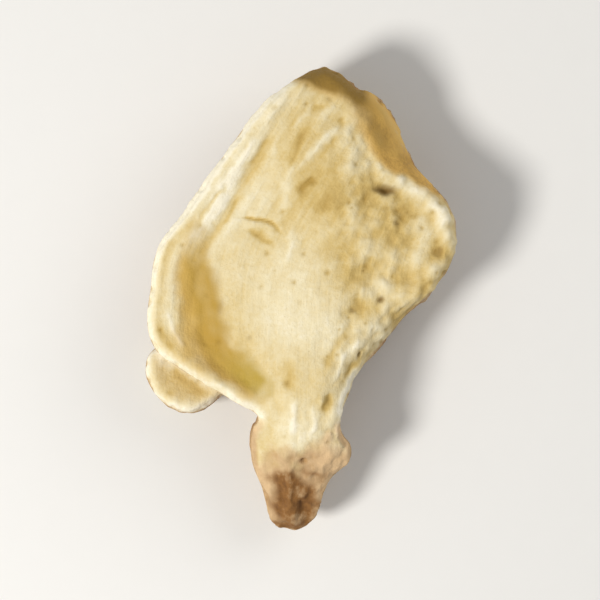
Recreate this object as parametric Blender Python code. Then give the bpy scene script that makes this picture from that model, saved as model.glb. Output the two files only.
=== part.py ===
"""Thick slice of dried chicory root with the stub of a side rootlet, as one closed solid.

The slice lies on its lower cut face. +Z is up, +Y runs from the stub to the pointed tip, and the origin is
under the middle of the slice. Sizes are millimetres here and are turned into metres where the mesh is made.
"""

import bmesh
import bpy
import numpy as np
from mathutils import Vector, noise

MM = 0.001
NODE_NAME = "root_piece"

# Driving dimensions of the slice
SLICE_HEIGHT = 5.5
TIP_Y = 10.70
STUB_END_Y = -10.55

# Rim of the upper cut face, right-hand and left-hand side, from the tip to the end of the stub
TIP = (1.00, TIP_Y)
STUB_END = (-0.40, STUB_END_Y)
RIGHT_RIM = [
    (1.75, 10.25), (2.50, 9.65), (3.30, 9.45), (3.90, 8.75), (4.25, 7.90), (5.35, 5.90), (6.20, 4.95),
    (6.70, 4.10), (6.92, 3.00), (6.70, 1.75), (6.05, 0.74), (4.28, -1.10), (2.70, -2.95), (2.05, -4.20),
    (1.68, -5.40), (1.80, -6.08), (2.15, -6.60), (2.08, -7.35), (1.20, -8.15), (0.67, -9.56), (0.25, -10.25),
]
LEFT_RIM = [
    (0.00, 10.21), (-1.44, 9.18), (-2.54, 7.98), (-4.10, 5.89), (-5.45, 3.90), (-6.55, 2.40),
    (-6.90, 0.60), (-7.02, -1.00), (-6.83, -1.85), (-6.20, -2.60), (-4.55, -3.67), (-2.80, -4.72),
    (-2.20, -5.02), (-1.98, -5.38), (-2.26, -5.90), (-2.34, -7.05), (-2.08, -7.90), (-1.66, -9.25),
    (-1.52, -9.90), (-1.10, -10.36),
]
POINTS_PER_SIDE = 88

# The lines that the inner rings of a cut face close on
SPINE_TOP_Y = 6.2
SPINE_LOW_Y = -9.0

# Rings of the two cut faces, as fractions of the way from the rim to the spine
UPPER_RINGS = (0.025, 0.06, 0.11, 0.17, 0.24, 0.32, 0.42, 0.54, 0.68, 0.84)
LOWER_RINGS = (0.03, 0.08, 0.15, 0.25, 0.38, 0.54, 0.74)

# Side between the cut faces: rows from the upper to the lower edge, undercut, lean, folds and creases
BARK_ROWS = 9
SIDE_STAND_OUT = 0.12
UNDERCUT = 0.45
LEAN = (0.25, 0.08)
UPPER_ROUNDING = 0.08
UPPER_ROUNDING_SHARE = 0.18
LOWER_ROUNDING = 0.30
LOWER_ROUNDING_SHARE = 0.80
BARK_BULGE = 0.10
BULGE_VARIATION = 2.0
BULGES_PER_MM = 0.16
FOLD_DEPTH = 0.42
FOLD_LEVEL = 0.25
FOLDS_PER_MM = 0.50
FOLD_STRETCH = 0.10
CREASE_DEPTH = 0.30
CREASES_PER_MM = 0.85
CREASE_STRETCH = 0.16
CREASE_SHARPNESS = 0.32
RIM_NOTCH = 0.12
RIM_BAND_SHARE = 0.26
WRINKLE_END_SHARE = 0.40

# Relief of the upper cut face
LIP_HEIGHT = 0.16
LIP_VARIATION = 0.5
LIPS_PER_MM = 0.9
LIP_INSET = 0.42
LIP_WIDTH = 0.36
LIP_END_Y = (-5.2, -3.2)
EDGE_DROP = 0.30
EDGE_WIDTH = 0.20
GROOVE_LINE = [
    (-5.00, 2.60), (-4.80, 0.60), (-4.60, -1.00), (-4.25, -2.20), (-3.40, -3.05), (-2.45, -3.65),
    (-1.85, -4.20),
]
GROOVE_DEPTH = 0.50
GROOVE_WIDTH = 0.66
GROOVE_START_SHARE = 0.3
GROOVE_END_SHARE = 0.75
GROOVE_END_LOSS = 0.45
RING_GROOVE_INSET = 1.85
RING_GROOVE_DEPTH = 0.10
RING_GROOVE_WIDTH = 0.45
CORE_CENTRE = (0.90, -1.30)
CORE_RISE = 0.30
CORE_RADIUS = 3.1
SWELL = 0.20
SWELLS_PER_MM = 0.27

# The face falls gently to the right of a low ridge
RIDGE_X = 1.3
RIDGE_ROUNDING = 1.6
RIGHT_FALL = 0.17
RIGHT_FALL_Y = (-5.0, -2.0)

# Slanting facet beyond the crest line at the upper right
CREST_LINE = [
    (-0.35, 9.95), (1.60, 9.40), (2.60, 8.20), (3.20, 6.75), (4.20, 5.75), (5.60, 4.80), (6.95, 4.20),
]
FACET_SLOPE = 1.15
FACET_END_Y = (2.8, 4.4)
CREST_ROUNDING = 0.28

# Worn edge along the lower right
WORN_EDGE_DROP = 0.80
WORN_EDGE_WIDTH = 0.80
WORN_EDGE_TOP_Y = (0.4, -0.8)
WORN_EDGE_LOW_Y = (-5.2, -4.2)

# Stub of the side rootlet: it falls away along its length and is rounded across
STUB_START_Y = -4.4
NECK_Y = (-4.2, -7.4)
STUB_TOP_FALL = 2.1
STUB_TOP_CURVE = 1.35
STUB_UNDER_RISE = 0.80
STUB_UNDER_CURVE = 0.8
STUB_SIDE_FALL = 0.60
STUB_SIDE_RISE = 0.40
STUB_ROUNDING = 1.1
STUB_BARK_SHARE = 0.45
STUB_FURROW = [(-0.11, -6.9), (-0.24, -8.8), (0.03, -10.3)]
STUB_FURROW_DEPTH = 0.34
STUB_FURROW_WIDTH = 0.32
STUB_WRINKLE = 0.16
STUB_WRINKLES_PER_MM = 1.5
STUB_WRINKLE_STRETCH = 0.4
STUB_BARK_Y = (-6.0, -8.2)

# Lower cut face: flat in the middle, with a shallow ring groove and a rounded edge
LOWER_GROOVE_INSET = 1.5
LOWER_GROOVE_DEPTH = 0.32
LOWER_GROOVE_WIDTH = 0.42
LOWER_EDGE_RISE = 0.30
LOWER_EDGE_WIDTH = 0.40
FLAT_BELOW = 0.03

# Ledge that stands out under the rim at the lower left
LEDGE_OUTLINE = [
    (-6.95, -2.25), (-7.27, -2.95), (-7.15, -3.75), (-6.70, -4.45), (-6.10, -4.93), (-5.30, -5.17),
    (-4.60, -5.02), (-4.00, -4.60), (-3.10, -3.70), (-3.60, -2.20), (-5.70, -1.60),
]
LEDGE_CENTRE = (-5.2, -3.5)
LEDGE_POINTS = 44
LEDGE_UNDER = 0.9
LEDGE_TOP = 3.5
LEDGE_RIPPLE = 0.10
LEDGE_RIPPLES_PER_MM = 0.9
LEDGE_SPREADS = (0.45, 0.80, 0.95, 1.00, 0.98, 0.90, 0.78, 0.45)
LEDGE_LIFTS = (0.00, 0.04, 0.22, 0.50, 0.78, 0.94, 1.00, 0.97)

# Finish of the solid
CUT_FACE_COLOUR = (0.78, 0.64, 0.38, 1.0)
CUT_FACE_ROUGHNESS = 0.85
SHARP_ANGLE = np.radians(50.0)


def remove_scene_objects():
    """Start from a scene with nothing in it."""
    for scene_object in list(bpy.data.objects):
        bpy.data.objects.remove(scene_object, do_unlink=True)


def smooth_curve(points, steps_per_span=12, closed=False):
    """Catmull-Rom curve through the points, as a dense row of places."""
    points = [np.array(point, dtype=float) for point in points]
    if closed:
        points = [points[-1]] + points + points[:2]
    else:
        points = [2 * points[0] - points[1]] + points + [2 * points[-1] - points[-2]]
    curve = []
    for before, start, end, after in zip(points, points[1:], points[2:], points[3:]):
        for step in range(steps_per_span):
            t = step / steps_per_span
            curve.append(0.5 * (
                2 * start + (end - before) * t
                + (2 * before - 5 * start + 4 * end - after) * t ** 2
                + (3 * start - before - 3 * end + after) * t ** 3
            ))
    curve.append(points[-2])
    return np.array(curve)


def evenly_spaced(curve, spans):
    """The same curve with its places an equal length apart."""
    lengths = np.linalg.norm(np.diff(curve, axis=0), axis=1)
    travelled = np.concatenate([[0.0], np.cumsum(lengths)])
    wanted = np.linspace(0.0, travelled[-1], spans + 1)
    return np.column_stack([np.interp(wanted, travelled, curve[:, axis]) for axis in (0, 1)])


def line_offset(place, line):
    """Distance from a place to a polyline, the fraction along it, and the side: +1 on its left."""
    line = np.array(line, dtype=float)
    starts = line[:-1]
    spans = line[1:] - starts
    along = np.clip(((place - starts) * spans).sum(axis=1) / (spans ** 2).sum(axis=1), 0.0, 1.0)
    gaps = place - (starts + spans * along[:, None])
    distances = np.linalg.norm(gaps, axis=1)
    nearest = int(np.argmin(distances))
    span = spans[nearest]
    reach = place - starts[nearest]
    on_left = span[0] * reach[1] - span[1] * reach[0] >= 0
    fraction = (nearest + along[nearest]) / len(spans)
    return distances[nearest], fraction, 1.0 if on_left else -1.0


def bump(distance, width):
    """Bell-shaped profile, 1 at distance 0."""
    return float(np.exp(-(distance / width) ** 2))


def ease(value, start, end):
    """0 on the start's side, 1 past the end, and a smooth step between them, up or down."""
    t = min(max((value - start) / (end - start), 0.0), 1.0)
    return t * t * (3.0 - 2.0 * t)


def soft_noise(place, per_mm, layer):
    """Smooth noise between about -1 and 1, its waves per_mm, one pattern for each layer."""
    return noise.noise(Vector((place[0] * per_mm, place[1] * per_mm, layer)))


def rim_sides():
    """The rim as two rows of places from the tip to the end of the stub: right, then left."""
    right = evenly_spaced(smooth_curve([TIP] + RIGHT_RIM + [STUB_END]), POINTS_PER_SIDE)
    left = evenly_spaced(smooth_curve([TIP] + LEFT_RIM + [STUB_END]), POINTS_PER_SIDE)
    return right, left


def around(right, left):
    """One closed ring: down the right-hand side and back up the left."""
    return np.concatenate([right, left[-2:0:-1]])


def spine_of(right, left):
    """For each pair of rim places, the place between them that the inner rings close on."""
    middle = (right + left) / 2
    wanted_y = np.clip(middle[:, 1], SPINE_LOW_Y, SPINE_TOP_Y)
    rising = middle[::-1]
    wanted_x = np.interp(wanted_y, rising[:, 1], rising[:, 0])
    return np.column_stack([wanted_x, wanted_y])


def stub_share(y):
    """0 on the slice, rising to 1 at the end of the stub."""
    return min(max((STUB_START_Y - y) / (STUB_START_Y - STUB_END_Y), 0.0), 1.0)


def on_stub(y):
    """0 on the slice and 1 on the stub, with the neck between them."""
    return ease(y, *NECK_Y)


def rim_relief(place, inset):
    """Raised lip along the rim, the shallow ring groove inside it and the rounded outer edge."""
    lip_size = LIP_HEIGHT * (1.0 + LIP_VARIATION * soft_noise(place, LIPS_PER_MM, 1.3))
    lip = lip_size * bump(inset - LIP_INSET, LIP_WIDTH)
    ring_groove = RING_GROOVE_DEPTH * bump(inset - RING_GROOVE_INSET, RING_GROOVE_WIDTH)
    return ease(place[1], *LIP_END_Y) * (lip - ring_groove) - EDGE_DROP * bump(inset, EDGE_WIDTH)


def right_depth(place):
    """How far the face has fallen to the right of the low ridge."""
    reach = place[0] - RIDGE_X
    beyond = (reach + np.hypot(reach, RIDGE_ROUNDING)) / 2
    return RIGHT_FALL * beyond * ease(place[1], *RIGHT_FALL_Y)


def groove_depth(place):
    """Depth of the sunken growth ring along the lower left."""
    distance, fraction, _ = line_offset(place, GROOVE_LINE)
    strength = ease(fraction, 0.0, GROOVE_START_SHARE)
    strength *= 1.0 - GROOVE_END_LOSS * ease(fraction, GROOVE_END_SHARE, 1.0)
    return GROOVE_DEPTH * strength * bump(distance, GROOVE_WIDTH)


def facet_depth(place):
    """How far the facet beyond the crest line has fallen, with the crest a little rounded."""
    distance, _, side = line_offset(place, CREST_LINE)
    beyond = (distance * side + np.hypot(distance, CREST_ROUNDING)) / 2
    return FACET_SLOPE * beyond * ease(place[1], *FACET_END_Y)


def worn_edge_depth(place, inset):
    """Depth of the worn edge along the lower right."""
    if place[0] < CORE_CENTRE[0]:
        return 0.0
    along_edge = ease(place[1], *WORN_EDGE_TOP_Y) * ease(place[1], *WORN_EDGE_LOW_Y)
    return WORN_EDGE_DROP * along_edge * bump(inset, WORN_EDGE_WIDTH)


def stub_depth(place, inset):
    """How far the top of the stub lies below the slice, with its furrow and its wrinkles."""
    x, y = place
    fall = STUB_TOP_FALL * stub_share(y) ** STUB_TOP_CURVE
    fall += STUB_SIDE_FALL * on_stub(y) * bump(inset, STUB_ROUNDING)
    fall += STUB_FURROW_DEPTH * bump(line_offset(place, STUB_FURROW)[0], STUB_FURROW_WIDTH)
    lengthwise = (x * STUB_WRINKLES_PER_MM, y * STUB_WRINKLE_STRETCH)
    return fall - STUB_WRINKLE * ease(y, *STUB_BARK_Y) * soft_noise(lengthwise, 1.0, 8.1)


def upper_height(place, inset):
    """Height of the upper cut face, and of the top of the stub, at a place."""
    from_core = np.hypot(place[0] - CORE_CENTRE[0], place[1] - CORE_CENTRE[1])
    height = SLICE_HEIGHT + SWELL * soft_noise(place, SWELLS_PER_MM, 3.7)
    height += CORE_RISE * bump(from_core, CORE_RADIUS)
    height += rim_relief(place, inset)
    height -= right_depth(place) + groove_depth(place) + facet_depth(place)
    height -= worn_edge_depth(place, inset) + stub_depth(place, inset)
    return float(height)


def lower_height(place, inset):
    """Height of the lower cut face, and of the underside of the stub, at a place."""
    y = place[1]
    stub = stub_share(y)
    height = LOWER_GROOVE_DEPTH * bump(inset - LOWER_GROOVE_INSET, LOWER_GROOVE_WIDTH) * (1.0 - stub)
    height += LOWER_EDGE_RISE * bump(inset, LOWER_EDGE_WIDTH) * (1.0 - stub / 2)
    height += STUB_UNDER_RISE * stub ** STUB_UNDER_CURVE
    height += STUB_SIDE_RISE * on_stub(y) * bump(inset, STUB_ROUNDING)
    return float(height) if height > FLAT_BELOW else 0.0


def wrinkle_depth(place, height):
    """Depth of the lengthwise bark wrinkles: broad folds with narrow creases between them."""
    fold = soft_noise(place, FOLDS_PER_MM, height * FOLD_STRETCH)
    crease = soft_noise(place, CREASES_PER_MM, 5.0 + height * CREASE_STRETCH)
    depth = FOLD_DEPTH * max(fold + FOLD_LEVEL, 0.0)
    return depth + CREASE_DEPTH * max(1.0 - abs(crease) / CREASE_SHARPNESS, 0.0)


def side_inset(place, share):
    """How far the side stands in from the drawn rim before its wrinkles, share of the way down."""
    bulge = BARK_BULGE * (1.0 + BULGE_VARIATION * soft_noise(place, BULGES_PER_MM, 6.3))
    inset = UNDERCUT * share ** 1.5 - bulge * np.sin(np.pi * share) - SIDE_STAND_OUT
    inset += UPPER_ROUNDING * ease(share, UPPER_ROUNDING_SHARE, 0.0)
    inset += LOWER_ROUNDING * ease(share, LOWER_ROUNDING_SHARE, 1.0)
    return inset * (1.0 - (1.0 - STUB_BARK_SHARE) * on_stub(place[1]))


def bark_inset(place, share):
    """How far the wrinkled side stands in from the drawn rim, share of the way down."""
    strength = RIM_NOTCH + (1.0 - RIM_NOTCH) * ease(share, 0.0, RIM_BAND_SHARE)
    strength *= 1.0 - (1.0 - STUB_BARK_SHARE) * on_stub(place[1])
    return side_inset(place, share) + strength * wrinkle_depth(place, SLICE_HEIGHT * (1.0 - share))


def leaned(place, share):
    """The place moved by the lean of the slice, share of the way down."""
    return place + np.array(LEAN) * share * (1.0 - on_stub(place[1]))


def side_row(rim, spine, share, inset_at):
    """The places of one row of the side, moved in from the rim and leaning."""
    row = []
    for place, middle in zip(rim, spine):
        gap = middle - place
        moved = place + gap * inset_at(place, share) / np.linalg.norm(gap)
        row.append(leaned(moved, share))
    return np.array(row)


def face_rings(edge, plain_edge, spine, shares, height_at):
    """Rings of a cut face, inwards from its edge, as rows of (x, y, z). The wrinkles fade inwards."""
    closed_edge = np.vstack([edge, edge[:1]])
    rings = []
    for share in shares:
        start = edge + (plain_edge - edge) * min(share / WRINKLE_END_SHARE, 1.0)
        places = start + (spine - start) * share
        rings.append([(*place, height_at(place, line_offset(place, closed_edge)[0])) for place in places])
    return rings


def slice_rings(rim, spine):
    """Rings of the slice from the middle above, over the rim, to the middle below."""
    rows = [side_row(rim, spine, row / BARK_ROWS, bark_inset) for row in range(BARK_ROWS + 1)]
    plain_top = side_row(rim, spine, 0.0, side_inset)
    plain_bottom = side_row(rim, spine, 1.0, side_inset)
    low_spine = np.array([leaned(place, 1.0) for place in spine])
    upper = face_rings(rows[0], plain_top, spine, UPPER_RINGS, upper_height)[::-1]
    lower = face_rings(rows[-1], plain_bottom, low_spine, LOWER_RINGS, lower_height)

    top_edge = np.array([upper_height(place, 0.0) for place in rows[0]])
    low_edge = np.array([lower_height(place, 0.0) for place in rim])
    sides = []
    for row, places in enumerate(rows):
        heights = top_edge + (low_edge - top_edge) * row / BARK_ROWS
        sides.append(np.column_stack([places, heights]))
    return upper + sides + lower


def add_ring(mesh, ring):
    """Vertices of one ring, turned into metres."""
    return [mesh.verts.new((x * MM, y * MM, z * MM)) for x, y, z in ring]


def join_rings(mesh, ring, next_ring):
    """Band of quads between two rings."""
    count = len(ring)
    for index in range(count):
        after = (index + 1) % count
        mesh.faces.new((ring[index], ring[after], next_ring[after], next_ring[index]))


def close_on_spine(mesh, ring):
    """Strip that closes the innermost ring: each vertex on the right meets its pair on the left."""
    count = len(ring)
    half = count // 2
    mesh.faces.new((ring[0], ring[1], ring[-1]))
    for index in range(1, half - 1):
        mesh.faces.new((ring[index], ring[index + 1], ring[count - index - 1], ring[count - index]))
    mesh.faces.new((ring[half - 1], ring[half], ring[half + 1]))


def object_from(mesh, name):
    """A scene object that holds the finished mesh."""
    bmesh.ops.triangulate(mesh, faces=mesh.faces[:])
    bmesh.ops.recalc_face_normals(mesh, faces=mesh.faces[:])
    data = bpy.data.meshes.new(name)
    mesh.to_mesh(data)
    mesh.free()
    made = bpy.data.objects.new(name, data)
    bpy.context.scene.collection.objects.link(made)
    return made


def make_slice():
    """The slice and its stub: two relief faces joined by wrinkled bark."""
    right, left = rim_sides()
    rim = around(right, left)
    spine_pairs = spine_of(right, left)
    spine = around(spine_pairs, spine_pairs)
    mesh = bmesh.new()
    rings = [add_ring(mesh, ring) for ring in slice_rings(rim, spine)]
    for ring, next_ring in zip(rings, rings[1:]):
        join_rings(mesh, ring, next_ring)
    close_on_spine(mesh, rings[0])
    close_on_spine(mesh, rings[-1])
    return object_from(mesh, NODE_NAME)


def make_ledge():
    """The ledge at the lower left: a rounded lobe, sunk well into the slice."""
    curve = smooth_curve(LEDGE_OUTLINE, closed=True)
    outline = evenly_spaced(curve, LEDGE_POINTS)[:-1]
    centre = np.array(LEDGE_CENTRE)
    mesh = bmesh.new()
    rings = []
    for spread, lift in zip(LEDGE_SPREADS, LEDGE_LIFTS):
        ring = []
        for place in outline:
            x, y = centre + (place - centre) * spread
            ripple = LEDGE_RIPPLE * soft_noise((x, y), LEDGE_RIPPLES_PER_MM, lift / 2)
            ring.append((x, y, LEDGE_UNDER + (LEDGE_TOP - LEDGE_UNDER) * lift + ripple))
        rings.append(add_ring(mesh, ring))
    for ring, next_ring in zip(rings, rings[1:]):
        join_rings(mesh, ring, next_ring)
    mesh.faces.new(rings[0])
    mesh.faces.new(rings[-1])
    return object_from(mesh, "ledge")


def grow_together(body, addition):
    """Join the addition to the body as one solid, and drop the loose copy."""
    union = body.modifiers.new("grown_together", "BOOLEAN")
    union.operation = "UNION"
    union.solver = "EXACT"
    union.object = addition
    bpy.context.view_layer.objects.active = body
    bpy.ops.object.modifier_apply(modifier=union.name)
    bpy.data.objects.remove(addition, do_unlink=True)


def give_finish(body):
    """Plain finish of the dried flesh, and smooth shading apart from the sharp edges."""
    finish = bpy.data.materials.new("dried_root_flesh")
    finish.use_nodes = True
    shader = finish.node_tree.nodes["Principled BSDF"]
    shader.inputs["Base Color"].default_value = CUT_FACE_COLOUR
    shader.inputs["Roughness"].default_value = CUT_FACE_ROUGHNESS
    shader.inputs["Metallic"].default_value = 0.0
    body.data.materials.clear()
    body.data.materials.append(finish)
    body.data.shade_smooth()
    body.data.set_sharp_from_angle(angle=SHARP_ANGLE)


remove_scene_objects()
root_piece = make_slice()
grow_together(root_piece, make_ledge())
give_finish(root_piece)
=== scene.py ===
"""A thick slice of dried chicory root, dressed and lit, laid out as an add-on and run as a script.

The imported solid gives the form, and a finer copy of it takes its place here with fine relief and colours:
cream flesh with a golden ring, a tan facet, a rootlet stub and wrinkled bark. Shapes are worked in
millimetres and kept in metres. A point's tone runs from 0, the darkest, to 1, the palest.
"""

import bpy
import numpy as np
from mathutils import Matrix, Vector, kdtree, noise


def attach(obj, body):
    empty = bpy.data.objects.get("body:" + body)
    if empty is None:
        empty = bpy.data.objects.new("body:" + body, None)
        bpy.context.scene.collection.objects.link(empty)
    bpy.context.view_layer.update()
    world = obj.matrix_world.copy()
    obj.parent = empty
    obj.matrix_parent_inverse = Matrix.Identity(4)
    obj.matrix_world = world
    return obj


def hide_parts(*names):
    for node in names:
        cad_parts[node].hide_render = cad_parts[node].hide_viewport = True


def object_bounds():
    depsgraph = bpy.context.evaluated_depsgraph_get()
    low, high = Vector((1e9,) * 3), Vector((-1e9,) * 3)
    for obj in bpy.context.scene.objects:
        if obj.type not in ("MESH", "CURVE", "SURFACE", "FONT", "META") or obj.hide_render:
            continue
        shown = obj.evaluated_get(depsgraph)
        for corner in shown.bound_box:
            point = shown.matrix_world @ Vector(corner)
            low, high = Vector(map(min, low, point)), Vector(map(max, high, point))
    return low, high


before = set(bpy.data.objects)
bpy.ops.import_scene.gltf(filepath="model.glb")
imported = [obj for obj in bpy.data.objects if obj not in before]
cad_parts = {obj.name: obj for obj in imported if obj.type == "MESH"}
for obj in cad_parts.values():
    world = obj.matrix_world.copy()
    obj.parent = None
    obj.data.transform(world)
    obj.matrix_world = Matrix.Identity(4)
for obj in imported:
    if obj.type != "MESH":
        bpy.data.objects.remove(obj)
CAD_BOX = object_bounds()

bl_info = {
    "name": "Dried chicory root slice",
    "version": (1, 0, 0),
    "blender": (4, 5, 0),
    "location": "View3D > Sidebar > Chicory Root",
    "description": "Models and dresses a cut slice of dried chicory root and its plain studio",
    "category": "Object",
}

NODE = "root_piece"
BODY = "root"
PIECE = "chicory_root_slice"
MM = 0.001
RANDOM_SEED = 7
MERGE_DISTANCE = 1e-6
RELAX_FACTOR = 0.5
NOISE_CONTRAST = 1.7
MIDDLE_TONE = 0.5

# Landmarks in millimetres, from above, tip up. Pairs called X, Y, UP or INSET bound a soft edge.
RING_LINE = [
    (-4.75, 3.1), (-4.9, 1.6), (-4.68, 0.2), (-4.42, -0.8), (-4.28, -1.7), (-3.85, -2.42),
    (-3.08, -3.05), (-2.4, -3.55), (-1.75, -4.05),
]
RING_HALF_WIDTHS = (0.5, 0.72, 0.9, 1.04, 0.98, 0.9, 0.84, 0.74, 0.5)
CREST = [(-0.35, 9.95), (1.6, 9.4), (2.6, 8.2), (3.2, 6.75), (4.2, 5.75), (5.6, 4.8), (6.95, 4.2)]
FACET_EDGE = [(3.2, 9.35), (3.75, 8.6), (4.3, 7.7), (4.75, 6.95)]
FACET_EDGE_WIDTH = 0.26
CORE = (-0.6, -0.6)
CORE_SIZE = (2.5, 2.3)
NECK_Y = (-3.6, -5.2)
STUB_Y = (-6.2, -7.4)
STUB_BROWN = (-0.3, -9.1)
STUB_BROWN_SIZE = (1.3, 1.95)
STUB_RIDGE = [(-0.55, -7.35), (0.05, -7.95), (0.65, -8.7)]
STUB_RIDGE_WIDTH = 0.26

# Broad soft patches of the upper face, a few of them painted shadow and painted light: middle, radius
# across and along, tone
BROAD_PATCHES = (
    ((-2.2, 6.0), 1.9, 2.4, 0.22), ((-3.8, 4.0), 1.3, 1.6, 0.08), ((0.6, 5.2), 1.5, 1.4, -0.1),
    ((3.2, 6.2), 1.1, 0.9, 0.16), ((5.6, 1.2), 0.9, 1.4, -0.1), ((2.4, 1.0), 1.0, 1.6, -0.04),
    ((3.2, 0.4), 0.7, 0.7, 0.12), ((0.9, -2.0), 1.0, 1.2, 0.1), ((0.2, 9.0), 1.1, 0.7, 0.12),
    # The patches at (-5.0, -3.9) and (-4.2, -4.15) are painted shadow, cast by the rim on the lower ledge
    ((-0.4, -6.0), 1.4, 0.8, 0.14), ((-5.0, -3.9), 1.3, 0.7, -0.2), ((-6.0, -3.6), 1.0, 1.2, -0.1),
    ((-4.2, -4.15), 0.7, 0.3, -0.25), ((-4.0, 0.9), 0.6, 1.0, 0.12), ((-2.2, 1.6), 1.2, 0.9, 0.08),
    ((-2.5, -1.7), 0.5, 0.5, -0.12), ((1.6, 2.4), 0.5, 0.5, 0.16), ((1.6, 4.1), 0.6, 0.5, -0.16),
    ((2.4, 4.8), 0.4, 0.4, 0.1), ((3.1, 1.6), 0.5, 0.5, 0.14), ((2.9, -0.4), 0.7, 0.6, -0.12),
    ((3.3, -1.8), 0.5, 0.7, 0.12), ((4.3, 3.2), 1.1, 1.4, -0.1), ((4.0, 4.6), 0.4, 0.4, -0.12),
    # Painted light: a paler patch just inside the crest, where the rounding of the crest falls into shade
    ((5.1, 5.3), 0.6, 0.5, 0.22),
)

# Streaks on the upper face: points, half width, height, tone
STREAKS = (
    ([(-3.23, 5.57), (-4.1, 4.4), (-4.97, 3.06)], 0.11, -0.07, -0.3),
    ([(-2.75, 5.45), (-3.5, 4.45), (-4.2, 3.44)], 0.14, 0.05, 0.18),
    ([(-2.4, 5.1), (-3.2, 4.1), (-3.85, 3.0)], 0.1, -0.04, -0.18),
    ([(-1.3, 7.6), (-2.3, 6.3), (-2.9, 5.7)], 0.12, -0.04, -0.16),
    ([(-0.63, 8.46), (-1.2, 7.3), (-1.69, 6.14)], 0.2, 0.05, 0.2),
    ([(0.35, 8.1), (-0.25, 7.0), (-0.7, 5.9)], 0.14, -0.05, -0.2),
    ([(0.65, 8.7), (0.0, 8.2), (-0.6, 7.6)], 0.16, 0.05, 0.22),
    ([(1.7, 8.0), (0.8, 7.15), (-0.4, 5.7)], 0.17, 0.07, 0.28),
    ([(1.25, 8.95), (0.6, 8.6), (-0.1, 8.0)], 0.13, -0.04, -0.2),
    ([(1.75, 7.6), (1.15, 6.85), (0.7, 6.2)], 0.15, -0.05, -0.16),
    ([(0.55, 5.65), (0.15, 5.25), (-0.3, 4.75)], 0.2, -0.1, -0.36),
    ([(-0.35, 6.3), (-0.75, 5.2), (-0.9, 3.8)], 0.24, 0.04, 0.16),
    ([(-0.4, 3.4), (-0.55, 2.5), (-0.9, 1.5)], 0.2, 0.05, 0.16),
    ([(2.3, -0.8), (1.35, -2.2), (0.85, -3.6)], 0.17, -0.05, -0.2),
    ([(2.7, -1.3), (1.8, -2.6), (1.3, -3.9)], 0.14, 0.05, 0.2),
    ([(3.1, -1.9), (2.2, -3.0), (1.75, -4.1)], 0.13, -0.04, -0.16),
    ([(1.25, -4.05), (1.1, -4.6), (0.85, -5.15)], 0.18, -0.09, -0.36),
    ([(2.6, 8.4), (2.0, 7.4), (1.5, 6.6)], 0.22, 0.03, 0.12),
    ([(-3.4, 6.4), (-4.4, 4.9), (-5.2, 3.6)], 0.1, 0.04, 0.16),
    ([(-2.0, 7.6), (-2.9, 6.2), (-3.6, 5.0)], 0.12, 0.04, 0.14),
    ([(-0.3, -4.2), (-0.45, -5.2), (-0.5, -6.2)], 0.15, 0.06, 0.18),
    ([(0.45, -4.4), (0.5, -5.4), (0.35, -6.4)], 0.13, 0.06, 0.18),
    ([(-6.15, -0.3), (-5.8, -1.4), (-5.15, -2.4)], 0.12, 0.04, 0.22),
    ([(-6.55, -0.9), (-6.2, -1.7), (-5.6, -2.45)], 0.18, -0.03, -0.24),
    ([(-0.8, -2.4), (-0.6, -3.4), (-0.5, -4.4)], 0.27, -0.04, -0.17),
    # Painted shadow: this dark streak lies on the lower ledge, in the shadow of the rim above it
    ([(-6.1, -2.85), (-5.5, -3.5), (-4.5, -4.15)], 0.2, -0.02, -0.24),
    # Painted highlight: a bright line along the lower right rim, which the sloping edge beside it leaves in
    # shade
    ([(2.75, -2.7), (2.02, -3.75), (1.68, -4.6), (1.6, -5.4)], 0.15, 0.05, 0.42),
)

# Creases, painted darker the deeper they are, as painted shade: points, half width, depth
CREASES = (
    ([(-2.95, 3.8), (-2.3, 3.76), (-1.55, 3.48), (-0.72, 2.88)], 0.085, 0.15),
    ([(-2.7, 3.3), (-1.95, 2.98), (-1.15, 2.34)], 0.155, 0.07),
    ([(0.05, -7.05), (0.12, -7.45)], 0.13, 0.22),
)

# Pits, painted brown the deeper they are, as painted shade: middle, half length, half width, turn in
# degrees, depth
PITS = (
    ((3.73, 5.03), 0.46, 0.2, -3.0, 0.3), ((3.5, 0.07), 0.17, 0.15, 20.0, 0.18),
    ((2.55, -2.44), 0.17, 0.1, 35.0, 0.14), ((2.3, -0.45), 0.16, 0.12, 10.0, 0.11),
    ((-2.38, -1.67), 0.13, 0.11, 0.0, 0.06), ((-3.7, -0.28), 0.36, 0.16, 80.0, 0.05),
    ((1.2, 9.1), 0.16, 0.12, -60.0, 0.07), ((6.15, 2.25), 0.24, 0.16, 60.0, 0.1),
    ((4.2, 3.55), 0.16, 0.12, 0.0, 0.08),
)

# Lumps, painted paler the higher they are, as painted light: middle, radius, height
LUMPS = (
    ((3.6, 5.85), 0.4, 0.1), ((4.5, 5.35), 0.42, 0.12), ((5.2, 5.0), 0.4, 0.12),
    ((5.75, 4.35), 0.4, 0.1), ((6.4, 3.7), 0.38, 0.14), ((5.2, 3.6), 0.36, 0.1),
    ((6.75, 2.9), 0.35, 0.12), ((5.9, 1.35), 0.36, 0.14), ((5.1, 1.75), 0.34, 0.08),
    ((3.5, 0.75), 0.32, 0.11), ((3.6, -0.45), 0.26, 0.1), ((4.6, -0.2), 0.35, 0.08),
    ((2.16, 4.2), 0.26, 0.12), ((2.7, 2.6), 0.3, 0.05), ((4.3, 2.15), 0.32, 0.08),
    ((3.1, -1.1), 0.36, 0.06), ((1.3, 3.1), 0.3, 0.04),
)

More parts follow.
